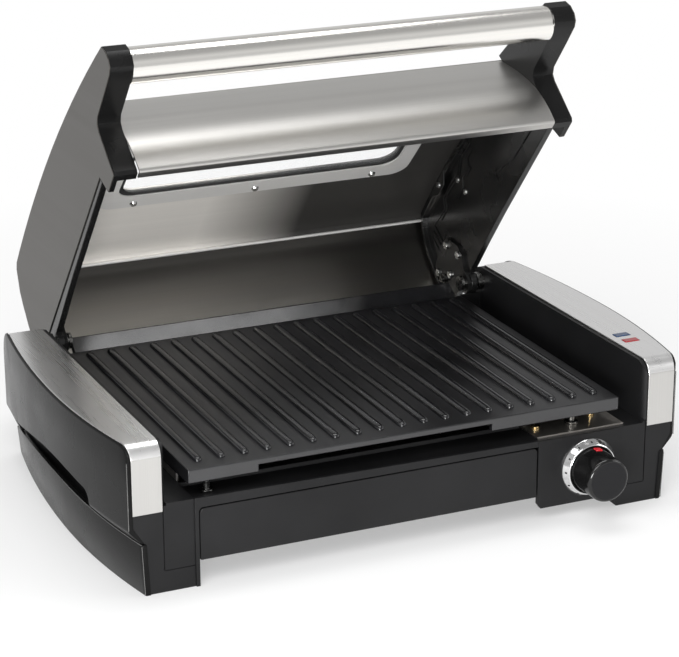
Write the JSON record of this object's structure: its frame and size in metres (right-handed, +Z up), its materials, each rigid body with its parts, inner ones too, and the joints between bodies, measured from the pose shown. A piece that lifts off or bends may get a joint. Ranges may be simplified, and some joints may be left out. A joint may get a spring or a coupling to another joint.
{
  "type": "electric indoor grill with lid",
  "caption": "Countertop electric grill with a hinged lid that has a window and a tube handle, a ribbed plate, a drip tray that slides out and a turning heat dial.",
  "frame": {"origin": "centre of the bounding box in plan, on the table surface under the rubber feet, with the lid open as at rest", "axes": "+X to the right seen from the front, along the lid hinge; +Y from the front towards the hinge; +Z up"},
  "size_m": [0.426, 0.363, 0.3324],
  "materials": {
    "housing_plastic": "fine matte moulding",
    "cover_plastic": "satin to glossy black",
    "trim_steel": "brushed along its length",
    "lid_steel": "brushed across the lid",
    "side_steel": "fine brushed, warm grey",
    "liner_black": "satin black enamel",
    "hardware": "plain bright steel",
    "brass": "plain brass",
    "dial_chrome": "bright chrome",
    "plate_coating": "non-stick coating, slightly glossy",
    "pan_metal": "plain sheet",
    "element_metal": "heat-darkened metal sheath",
    "ceramic": "off-white heat-proof moulding",
    "lens_red": "tinted lens",
    "lens_blue": "tinted lens",
    "pointer_red": "red mark",
    "foot_rubber": "plain rubber",
    "seal_rubber": "heat-proof seal",
    "window_glass": "clear flat glass"
  },
  "bodies": {
    "base": {"side_housing_left": "housing_plastic", "side_housing_right": "housing_plastic", "front_crossbar": "housing_plastic", "control_panel": "housing_plastic", "rear_housing": "housing_plastic", "bottom_cover": "housing_plastic", "cord_gland": "housing_plastic", "side_cover_left": "cover_plastic", "side_cover_right": "cover_plastic", "skirt_left": "cover_plastic", "skirt_right": "cover_plastic", "top_trim_left": "trim_steel", "top_trim_right": "trim_steel", "element_plate": "side_steel", "base_screws": "hardware", "hinge_pins": "hardware", "locating_pin": "hardware", "element_clips": "hardware", "element_plate_screws": "brass", "dial_ring": "dial_chrome", "grill_plate": "plate_coating", "base_pan": "pan_metal", "heating_element": "element_metal", "thermostat": "ceramic", "lamp_holder": "ceramic", "terminal_block": "ceramic", "red_lens": "lens_red", "blue_lens": "lens_blue", "rubber_feet": "foot_rubber"},
    "lid": {"lid_shell": "lid_steel", "lid_front_panel": "lid_steel", "lid_side_panel_left": "side_steel", "lid_side_panel_right": "side_steel", "lid_side_liner_left": "liner_black", "lid_side_liner_right": "liner_black", "handle_bracket_left": "housing_plastic", "handle_bracket_right": "housing_plastic", "handle_tube": "lid_steel", "handle_rod": "hardware", "window_glass": "window_glass", "window_gasket": "seal_rubber", "window_frame": "lid_steel", "window_screws": "hardware", "hinge_plate_left": "liner_black", "hinge_plate_right": "liner_black", "hinge_screws": "hardware", "hinge_stop_pins": "hardware"},
    "knob": {"knob": "cover_plastic", "knob_pointer": "pointer_red", "thermostat_shaft": "hardware"},
    "drip_tray": {"drip_tray": "housing_plastic"}
  },
  "joints": [
    {"name": "lid_hinge", "type": "hinge", "parent": "base", "child": "lid", "pos_m": [0, 0.095, 0.089], "axis": [-1, 0, 0], "range_deg": [-49, 22]},
    {"name": "knob_turn", "type": "hinge", "parent": "base", "child": "knob", "pos_m": [0.1319, -0.152, 0.0343], "axis": [0, 1, 0], "range_deg": [0, 270]},
    {"name": "tray_slide", "type": "slide", "parent": "base", "child": "drip_tray", "axis": [0, -1, 0], "range_m": [0, 0.16]}
  ]
}
